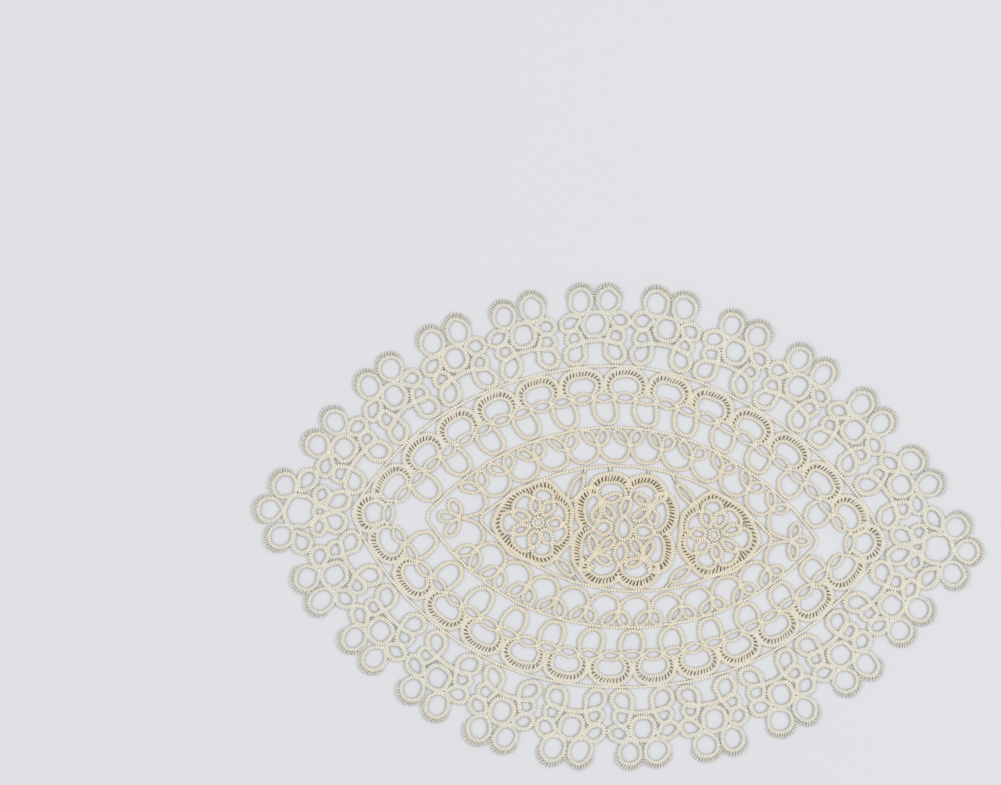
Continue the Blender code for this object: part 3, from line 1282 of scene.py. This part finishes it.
@dataclass
class CloverRound:
    """The round of petals and shallow arcs next to the medallions, between two lines."""

    turn: float = 8.0
    from_centre: int = 5

    def work(self, name: str) -> Work:
        """Work the petals, the arcs and both lines.

        Args:
            name: the piece's name.

        Returns:
            The finished work.
        """
        work = Work(name)
        for side in SIDES:
            for place in range(-self.from_centre, self.from_centre + 1):
                spot = ArcSpot(side, place * self.turn)
                work_rings(work, spot, [CLOVER_PETAL])
                work.knot(spot.one(CLOVER_KNOT))
            for place in range(-self.from_centre, self.from_centre):
                spot = ArcSpot(side, (place + 0.5) * self.turn)
                work.braid(spot.at(CLOVER_ARC), spot.one(CLOVER_HEART), Weight.PETAL)
        for facing in POINTS:
            spot = TurnedSpot(facing=facing)
            work_rings(work, spot, [CLOVER_END_PETALS])
            work_rings(work, spot, [CLOVER_END_PETAL], both=False)
            work_chains(work, spot, [CLOVER_END_ARC], both=True)
            work.knot(spot.one(CLOVER_END_KNOT))
        work.line_round(CLOVER_LINE)
        work.line_round(WRAP_LINE)
        return work


# ---------------------------------------------------------------- the medallions


CENTRE_RINGS = (
    RingPlan((-1.0, 5.2), (-1.1, 0.1), 4.3, 3.15, Weight.MEDALLION),
    RingPlan((-0.2, 12.9), (-0.7, 9.2), 3.6, 2.0, Weight.MEDALLION),
    RingPlan((-1.7, -15.0), (-1.7, -10.3), 3.9, 2.5, Weight.MEDALLION),
    RingPlan((-13.8, -1.2), (-9.2, -0.4), 3.2, 2.8, Weight.MEDALLION),
    RingPlan((11.9, -0.8), (7.6, -0.8), 3.6, 2.65, Weight.MEDALLION),
)
CLOVERS = (
    ((-11.3, 10.9), ((-6.3, 12.1), (-7.5, 6.3), (-13.0, 5.4))),
    ((10.0, 10.0), ((5.9, 12.5), (5.9, 6.3), (10.9, 5.4))),
    ((-12.5, -11.7), ((-13.4, -7.1), (-7.5, -7.1), (-8.4, -13.8))),
    ((8.4, -12.1), ((9.6, -7.9), (5.0, -7.1), (4.2, -14.2))),
)
CENTRE_LOBES = (
    ((-11.3, 10.9), (-13.3, 14.2), (-12.1, 17.5), (-8.4, 19.2), (-4.2, 19.0), (-1.8, 16.7),
     (-0.4, 13.0)),
    ((0.2, 13.0), (1.2, 16.7), (3.8, 18.8), (7.5, 19.2), (10.9, 18.0), (12.8, 14.6), (10.6, 10.6)),
    ((10.2, 10.0), (13.4, 12.7), (15.9, 12.1), (17.1, 8.4), (17.1, 4.2), (15.0, 0.8),
     (11.9, -0.6)),
    ((11.9, -1.0), (15.0, -2.1), (16.7, -5.4), (17.1, -9.2), (15.9, -13.0), (12.5, -14.2),
     (8.6, -12.2)),
    ((8.6, -12.4), (11.3, -15.0), (10.9, -18.4), (7.1, -20.9), (3.3, -20.9), (0.0, -18.8),
     (-1.6, -15.3)),
    ((-1.8, -15.3), (-3.3, -18.8), (-6.7, -20.9), (-10.9, -20.9), (-14.2, -18.8), (-15.0, -15.5),
     (-12.6, -11.9)),
    ((-12.7, -11.9), (-15.5, -15.7), (-17.6, -15.0), (-18.4, -11.3), (-18.4, -6.3), (-16.7, -2.9),
     (-13.8, -1.2)),
    ((-13.8, -1.0), (-16.7, 1.7), (-18.0, 5.0), (-18.0, 10.0), (-15.9, 13.0), (-13.4, 13.4),
     (-11.4, 10.9)),
)
LOBE_OFFSETS = ((0.14, 2.4), (0.26, 3.1), (0.5, 3.3), (0.74, 3.1), (0.86, 2.4))


@dataclass
class CentreMedallion:
    """The squarish medallion in the middle: rings, four clovers and eight ladder lobes."""

    petal_along: float = 3.1
    petal_across: float = 1.8
    clover_knot: float = 0.8
    lobe_heart: float = 0.8       # where a lobe's bars face away from, of its own middle
    lobe_lift: float = 0.05
    # the leaves that fill the four corners beside it: place, the way each faces, half sizes
    fillers: tuple[tuple[float, ...], ...] = (
        (23.7, 16.1, 46.0, 5.6, 1.6), (-22.0, 15.2, -67.0, 6.4, 2.1),
        (24.0, -17.3, 140.0, 5.0, 1.8), (-24.4, -17.8, -140.0, 5.0, 1.9))
    filler_link: float = 3.2
    crest_links: tuple[tuple[Place, Place], ...] = (
        ((-8.3, 22.5), (-8.4, 25.7)), ((7.6, 22.5), (7.7, 25.8)))

    def work(self, name: str) -> Work:
        """Work the whole medallion.

        Args:
            name: the piece's name.

        Returns:
            The finished work.
        """
        work = Work(name)
        spot = TurnedSpot()
        work_rings(work, spot, CENTRE_RINGS, both=False)
        for base, petals in CLOVERS:
            plans = [RingPlan(base, centre, self.petal_along, self.petal_across, Weight.MEDALLION)
                     for centre in petals]
            work_rings(work, spot, plans, both=False)
            work.knot(base, self.clover_knot)
        for lobe in np.array(CENTRE_LOBES):
            heart = tuple(np.mean(lobe, axis=0) * self.lobe_heart)
            work.ladder(lobe, heart, LOBE_OFFSETS, self.lobe_lift)
        for plan in CENTRE_RINGS:
            work.knot(plan.base)
        for start, end in self.crest_links:
            work.link(start, end)
        for x, y, turn, tip, half_width in self.fillers:
            spot = TurnedSpot(x, y, turn)
            work.braid(spot.at(leaf_line((0.0, 0.0), tip, half_width)), (x, y), Weight.PETAL)
            for side in (1.0, -1.0):
                self.hang(work, spot, side * tip, side * (tip + self.filler_link))
        return work

    def hang(self, work: Work, spot: Spot, tip: float, far: float) -> None:
        """Join one point of a filling leaf to what lies beyond it.

        Args:
            work: the lace in the making.
            spot: the leaf's spot.
            tip: where its point is, across the spot.
            far: where the link ends, unless the line round the medallions is there.
        """
        start, end = spot.at([(tip, 0.0), (far, 0.0)])
        if abs(end[1]) > abs(start[1]):
            line = math.sqrt(WRAP_LINE ** 2 - end[0] ** 2) - ARC_CENTRE
            end[1] = math.copysign(line, end[1])
        work.link(tuple(start), tuple(end))


@dataclass
class SideMedallion:
    """A medallion beside the middle one: seven rings about a small one, and seven lobes."""

    mirror: float = 1.0           # -1 for the left one
    centre: Place = (36.8, 0.0)
    small_ring: float = 2.1
    small_ring_corners: int = 8
    ring_turns: tuple[float, ...] = (180.0, 121.0, 74.0, 20.0, -28.0, -79.0, -128.0)
    ring_reach: tuple[float, ...] = (6.7, 7.6, 6.9, 7.9, 7.7, 7.2, 6.9)
    lobe_reach: tuple[float, ...] = (12.8, 14.6, 13.6, 15.7, 14.0, 14.6, 13.0)
    petal_base: float = 3.4       # how far out the petals are drawn together
    petal_end: float = 3.1        # from a petal's middle to the knot at its end
    petal_along: float = 3.1
    petal_across: float = 2.1
    # a lobe's line from one knot to the next: shares of the way, and how far out each one is,
    # as shares of the knot's and the lobe's own reach, or short of the top
    lobe_steps: tuple[float, ...] = (0.12, 0.30, 0.5, 0.70, 0.88)
    shoulder: Place = (0.35, 0.65)
    flank: float = 0.2
    inset: float = 0.28           # how far inside its lobe's line a lobe's braid runs
    lift: float = 0.05
    # from each lobe's line out to the outer chain, and how far out that chain lies before
    # each lobe, against the tops on both sides
    band: tuple[float, ...] = (2.35, 3.05, 3.05, 3.05, 3.05, 3.05, 2.35)
    dip: tuple[float, ...] = (0.91, 0.945, 0.945, 0.955, 0.955, 0.945, 0.945)
    bar_pitch: float = 1.74       # from one bar to the next along the outer chain
    bar_stray: float = 0.25       # in degrees
    longest_bar: float = 3.3
    bar_lean: float = 0.36        # how far a bar leans along the chain, per its length

    def place(self, turn: float, reach: float) -> Place:
        """A place at an angle and a distance from the medallion's middle."""
        along = self.centre[0] + reach * math.cos(math.radians(turn))
        return (self.mirror * along, reach * math.sin(math.radians(turn)))

    def work(self, name: str) -> Work:
        """Work the whole medallion.

        Args:
            name: the piece's name.

        Returns:
            The finished work.
        """
        work = Work(name)
        heart = self.place(0.0, 0.0)
        corners = np.linspace(0.0, 360.0, self.small_ring_corners, endpoint=False)
        small_ring = [self.place(turn, self.small_ring) for turn in corners]
        work.braid(np.array(small_ring), heart, Weight.LINE, closed=True)
        turns = self.ring_turns + (self.ring_turns[0] - 360.0,)
        reaches = self.ring_reach + (self.ring_reach[0],)
        inner: list[Place] = []
        for index, top in enumerate(self.lobe_reach):
            turn, reach = turns[index], reaches[index]
            plan = RingPlan(self.place(turn, self.petal_base), self.place(turn, reach),
                            self.petal_along, self.petal_across, Weight.MEDALLION)
            work_rings(work, TurnedSpot(), [plan], both=False)
            foot, last = reach + self.petal_end, reaches[index + 1] + self.petal_end
            line = self.lobe((turn, foot), (turns[index + 1], last), top)
            places = [self.place(angle, size - self.inset) for angle, size in line]
            work.braid(np.array(places), heart, Weight.LOBE, lift=self.lift)
            work.knot(self.place(turn, foot))
            inner += line
        self.band_round(work, heart, turns, inner)
        return work

    def lobe(self, start: Place, end: Place, top: float) -> list[Place]:
        """The line of one lobe, as (angle, distance from the middle).

        Args:
            start: where it starts.
            end: where it ends.
            top: how far out its top lies.

        Returns:
            The corners of the line.
        """
        step = end[0] - start[0]
        foot_share, top_share = self.shoulder
        rises = [foot_share * foot + top_share * top for foot in (start[1], end[1])]
        sizes = (rises[0], top - self.flank, top, top - self.flank, rises[1])
        between = [(start[0] + share * step, size) for share, size in zip(self.lobe_steps, sizes)]
        return [start, *between, end]

    def band_round(self, work: Work, heart: Place, turns: Sequence[float],
                   inner: Sequence[Place]) -> None:
        """Work the outer chain round all the lobes, and the bars that it hangs on.

        Args:
            work: the lace in the making.
            heart: the medallion's middle.
            turns: the angles between the lobes, the first one again at the end.
            inner: the lobes' lines, as (angle, distance from the middle).
        """
        tops = [reach + band for reach, band in zip(self.lobe_reach, self.band)]
        chain: list[Place] = []
        for index, top in enumerate(tops):
            chain.append((turns[index], self.dip[index] * (tops[index - 1] + top) / 2.0))
            chain.append(((turns[index] + turns[index + 1]) / 2.0, top))
        work.braid(np.array([self.place(*corner) for corner in chain]), heart, Weight.RIM,
                   closed=True, lift=self.lift)
        chain.append((turns[-1], chain[0][1]))
        # the angles fall along both lines, and are turned round to look places up
        chain_turns, chain_sizes = np.array(chain).T
        inner_turns, inner_sizes = np.array(inner).T
        count = round(TURN * float(np.mean(tops)) / self.bar_pitch)
        for turn in np.linspace(turns[0], turns[-1], count, endpoint=False):
            turn = turn + work.dice.normal(0.0, self.bar_stray)
            far = float(np.interp(-turn, -chain_turns, chain_sizes))
            near = max(float(np.interp(-turn, -inner_turns, inner_sizes)), far - self.longest_bar)
            lean = math.degrees(self.bar_lean * (far - near) / far)
            work.link(self.place(turn + lean, near), self.place(turn, far))


# ---------------------------------------------------------------- finishes


@dataclass(frozen=True)
class Value:
    """A number that varies over a surface; arithmetic on it adds Math nodes."""

    graph: "Graph"
    socket: bpy.types.NodeSocket

    def __add__(self, other: "Value | float") -> "Value":
        """Sum."""
        return self.graph.maths("ADD", self, other)

    __radd__ = __add__

    def __mul__(self, other: "Value | float") -> "Value":
        """Product."""
        return self.graph.maths("MULTIPLY", self, other)

    __rmul__ = __mul__

    def __sub__(self, other: "Value | float") -> "Value":
        """Difference."""
        return self.graph.maths("SUBTRACT", self, other)

    def __rsub__(self, other: "Value | float") -> "Value":
        """Difference, with a plain number first."""
        return self.graph.maths("SUBTRACT", other, self)

    def __truediv__(self, other: "Value | float") -> "Value":
        """Quotient."""
        return self.graph.maths("DIVIDE", self, other)

    def __rtruediv__(self, other: "Value | float") -> "Value":
        """Quotient, with a plain number first."""
        return self.graph.maths("DIVIDE", other, self)

    def clamped(self) -> "Value":
        """The same number, kept from 0 to 1."""
        node = self.graph.node("ShaderNodeClamp", {}, {"Value": self})
        return Value(self.graph, node.outputs["Result"])


class Graph:
    """The nodes of one material."""

    def __init__(self, name: str) -> None:
        """Start a material with a Principled shader.

        Args:
            name: the material's name.
        """
        self.material = bpy.data.materials.new(name)
        self.material.use_nodes = True
        self.nodes = self.material.node_tree.nodes
        self.links = self.material.node_tree.links
        self.shader = self.nodes["Principled BSDF"]

    def node(self, kind: str, settings: dict, inputs: dict) -> bpy.types.Node:
        """Add a node.

        Args:
            kind: the node's type.
            settings: its own properties, which are set first.
            inputs: numbers, colours, Values or sockets for its inputs, by name or number.

        Returns:
            The node.
        """
        made = self.nodes.new(kind)
        for name, value in settings.items():
            setattr(made, name, value)
        for name, value in inputs.items():
            self.feed(made.inputs[name], value)
        return made

    def feed(self, socket: bpy.types.NodeSocket, value: object) -> None:
        """Give a socket a value, or link a Value or another socket to it.

        Args:
            socket: the socket that is fed.
            value: a number, a colour, a Value or a socket.
        """
        source = value.socket if isinstance(value, Value) else value
        if isinstance(source, bpy.types.NodeSocket):
            self.links.new(source, socket)
        else:
            socket.default_value = source

    def maths(self, operation: str, *values: "Value | float") -> Value:
        """A Math node on numbers and Values."""
        node = self.node("ShaderNodeMath", {"operation": operation}, dict(enumerate(values)))
        return Value(self, node.outputs[0])

    def attribute(self, name: str) -> Value:
        """A number kept on the mesh."""
        node = self.node("ShaderNodeAttribute", {"attribute_name": name}, {})
        return Value(self, node.outputs["Fac"])

    def noise(self, coordinates: bpy.types.NodeSocket, scale: float, detail: float) -> Value:
        """Noise from 0 to 1 on some coordinates."""
        inputs = {"Vector": coordinates, "Scale": scale, "Detail": detail}
        return Value(self, self.node("ShaderNodeTexNoise", {}, inputs).outputs["Fac"])

    def mixed(self, share: Value | float, first: object, second: object) -> bpy.types.NodeSocket:
        """A mix of two colours."""
        inputs = {"Factor": share, 6: first, 7: second}
        return self.node("ShaderNodeMix", {"data_type": "RGBA"}, inputs).outputs[2]


@dataclass(frozen=True)
class CottonThread:
    """Matt ecru cotton: twisted plies, a soft nap, and painted shade in the crevices between
    stitches.
    """

    name: str = "ecru_cotton"
    light: Colour = (0.838, 0.818, 0.731, 1.0)
    deep: Colour = (0.96, 0.86, 0.665, 1.0)
    # painted shade: the brown that creases, undersides and knots are shaded towards
    crevice_shade: Colour = (0.36, 0.24, 0.105, 1.0)
    warm_reach_along: float = 0.125         # how far out from the middle the thread is warmer and its painted shade deeper
    warm_reach_across: float = 0.078
    patch_scale: float = 55.0         # noise cells a metre
    patch_detail: float = 3.0
    nap_scale: float = 5200.0
    nap_detail: float = 2.0
    # what the deep colour's share is made of: nearness to the middle, patches, each stitch, nap,
    # and a start
    warm: tuple[float, ...] = (0.6, 0.6, 0.3, 0.2, 0.40)
    # how strong the painted shade in crevices is anywhere, in patches, and near the middle
    painted_dark: tuple[float, ...] = (0.30, 0.3, 0.80)
    plies_round: float = 5.0          # plies that one turn of the thread shows
    plies_along: float = 3.0
    ply_height: float = 0.00005
    nap_height: float = 0.00004
    bump: float = 0.8
    roughness: float = 0.66
    sheen: float = 0.12
    gloss: float = 0.4

    def material(self) -> bpy.types.Material:
        """The finish as a material.

        Returns:
            The material.
        """
        graph = Graph(self.name)
        coordinates = graph.node("ShaderNodeTexCoord", {}, {})
        place = coordinates.outputs["Object"]
        wrap = graph.node("ShaderNodeSeparateXYZ", {}, {"Vector": coordinates.outputs["UV"]})
        round_it, along = Value(graph, wrap.outputs["X"]), Value(graph, wrap.outputs["Y"])
        patch = graph.noise(place, self.patch_scale, self.patch_detail)
        nap = graph.noise(place, self.nap_scale, self.nap_detail)
        tone, painted_shade = graph.attribute("tone"), graph.attribute("painted_shade")
        spread = graph.node("ShaderNodeSeparateXYZ", {}, {"Vector": place})
        # nearness to the middle, where the thread is warmer and its painted shade deeper
        out_x = Value(graph, spread.outputs["X"]) / self.warm_reach_along
        out_y = Value(graph, spread.outputs["Y"]) / self.warm_reach_across
        near_middle = (1.0 - out_x * out_x - out_y * out_y).clamped()
        by_middle, by_patch, by_tone, by_nap, start = self.warm
        warm = by_middle * near_middle + by_patch * patch + by_tone * tone + by_nap * nap - start
        ground = graph.mixed(warm.clamped(), self.light, self.deep)
        # painted shade: the brown is mixed in by each vertex's shade value, stronger in patches
        # and near the middle
        always, in_patches, in_middle = self.painted_dark
        shade = (painted_shade * (always + in_patches * patch + in_middle * near_middle * near_middle)).clamped()
        graph.feed(graph.shader.inputs["Base Color"], graph.mixed(shade, ground, self.crevice_shade))
        ply = graph.maths("SINE", TURN * (self.plies_round * round_it + self.plies_along * along))
        height = self.ply_height * ply + self.nap_height * nap
        heights = {"Height": height, "Strength": self.bump, "Distance": 1.0}
        bump = graph.node("ShaderNodeBump", {}, heights)
        graph.feed(graph.shader.inputs["Normal"], bump.outputs["Normal"])
        graph.shader.inputs["Roughness"].default_value = self.roughness
        graph.shader.inputs["Sheen Weight"].default_value = self.sheen
        graph.shader.inputs["Specular IOR Level"].default_value = self.gloss
        return graph.material


@dataclass(frozen=True)
class PaleTable:
    """A smooth, pale, faintly cool table top."""

    name: str = "pale_table"
    light: Colour = (0.678, 0.680, 0.701, 1.0)
    deep: Colour = (0.668, 0.672, 0.694, 1.0)
    patch_scale: float = 3.0
    patch_detail: float = 2.0
    roughness: float = 0.7

    def material(self) -> bpy.types.Material:
        """The finish as a material.

        Returns:
            The material.
        """
        graph = Graph(self.name)
        place = graph.node("ShaderNodeTexCoord", {}, {}).outputs["Object"]
        patch = graph.noise(place, self.patch_scale, self.patch_detail)
        graph.feed(graph.shader.inputs["Base Color"], graph.mixed(patch, self.light, self.deep))
        graph.shader.inputs["Roughness"].default_value = self.roughness
        return graph.material


# ---------------------------------------------------------------- table, light and camera


class Lamp(NamedTuple):
    """A square soft lamp that faces the doily: place, size, power and colour."""

    name: str
    place: tuple[float, float, float]
    size: float
    power: float
    colour: tuple[float, float, float]

    def hang(self) -> None:
        """Put the lamp in the scene."""
        light = bpy.data.lights.new(self.name, "AREA")
        light.shape = "SQUARE"
        light.size, light.energy, light.color = self.size, self.power, self.colour
        lamp = bpy.data.objects.new(self.name, light)
        lamp.location = self.place
        lamp.rotation_euler = (-Vector(self.place)).to_track_quat("-Z", "Y").to_euler()
        bpy.context.scene.collection.objects.link(lamp)


@dataclass(frozen=True)
class Studio:
    """The table, the soft light of a pale room with a lamp on each side, and the camera."""

    table_size: float = 4.0
    table_cells: int = 8
    room_colour: Colour = (0.97, 0.985, 1.0, 1.0)
    room_strength: float = 0.735
    lamps: tuple[Lamp, ...] = (
        Lamp("lamp_right", (2.2, 0.2, 2.2), 1.5, 34.0, (1.0, 0.995, 0.98)),
        Lamp("lamp_left", (-2.0, 0.3, 2.2), 1.9, 21.5, (0.98, 0.99, 1.0)))
    view_width: float = 0.41842       # what the camera takes in across, at the table
    view_centre: Place = (-0.05331, 0.05286)
    view_turn: float = math.radians(4.0)
    lens: float = 100.0
    sensor: float = 36.0
    clip: Place = (0.01, 20.0)

    def table(self) -> bpy.types.Object:
        """The table top, which isn't part of the doily.

        Returns:
            The table top.
        """
        bm = bmesh.new()
        bmesh.ops.create_grid(bm, x_segments=self.table_cells, y_segments=self.table_cells,
                              size=self.table_size / 2.0)
        mesh = bpy.data.meshes.new("table_top")
        bm.to_mesh(mesh)
        bm.free()
        mesh.materials.append(PaleTable().material())
        made = bpy.data.objects.new("table_top", mesh)
        bpy.context.scene.collection.objects.link(made)
        return made

    def light(self) -> None:
        """Light the table softly from above and from both sides."""
        world = bpy.data.worlds.new("soft_room")
        world.use_nodes = True
        room = world.node_tree.nodes["Background"]
        room.inputs["Color"].default_value = self.room_colour
        room.inputs["Strength"].default_value = self.room_strength
        bpy.context.scene.world = world
        bpy.context.scene.view_settings.view_transform = "Standard"
        for lamp in self.lamps:
            lamp.hang()

    def camera(self) -> bpy.types.Object:
        """The camera, straight above and a little turned.

        Returns:
            The camera.
        """
        data = bpy.data.cameras.new("overhead")
        data.lens, data.sensor_width = self.lens, self.sensor
        data.clip_start, data.clip_end = self.clip
        made = bpy.data.objects.new("overhead", data)
        made.location = (*self.view_centre, self.view_width * self.lens / self.sensor)
        made.rotation_euler = (0.0, 0.0, self.view_turn)
        bpy.context.scene.collection.objects.link(made)
        bpy.context.scene.camera = made
        return made


# ---------------------------------------------------------------- all together


class Strip(NamedTuple):
    """A strip of the lace: the works in it, and its flat size and area in metres."""

    works: tuple[Work, ...]
    flat: Place
    area: float


def lace_strips() -> list[Strip]:
    """Work every round of the lace.

    Returns:
        The strips of the sheet, from the middle outwards.
    """
    border = Border()
    scallops, arches = ScallopRound().work("scallop_round"), ArchRound().work("arch_round")
    return [
        Strip((CentreMedallion().work("centre_medallion"),), (0.046, 0.049), 0.0019),
        Strip((SideMedallion(1.0).work("side_medallion_right"),), (0.037, 0.038), 0.0011),
        Strip((SideMedallion(-1.0).work("side_medallion_left"),), (0.037, 0.038), 0.0011),
        Strip((CloverRound().work("clover_round"),), (0.166, 0.086), 0.0050),
        Strip((scallops, arches), (0.226, 0.137), 0.0103),
        Strip((border.side(1, "border_upper"),), (0.290, 0.102), 0.0101),
        Strip((border.side(-1, "border_lower"),), (0.290, 0.102), 0.0101),
        Strip((border.end(90.0, "border_end_right"),), (0.042, 0.040), 0.0010),
        Strip((border.end(-90.0, "border_end_left"),), (0.042, 0.040), 0.0010),
    ]


def main() -> None:
    """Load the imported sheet, work the lace over it and set the table, light and camera."""
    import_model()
    studio = Studio()
    studio.table()
    studio.light()
    studio.camera()
    cotton = CottonThread().material()
    for strip in lace_strips():
        made = [work.piece(cotton) for work in strip.works]


if __name__ == "__main__":
    main()
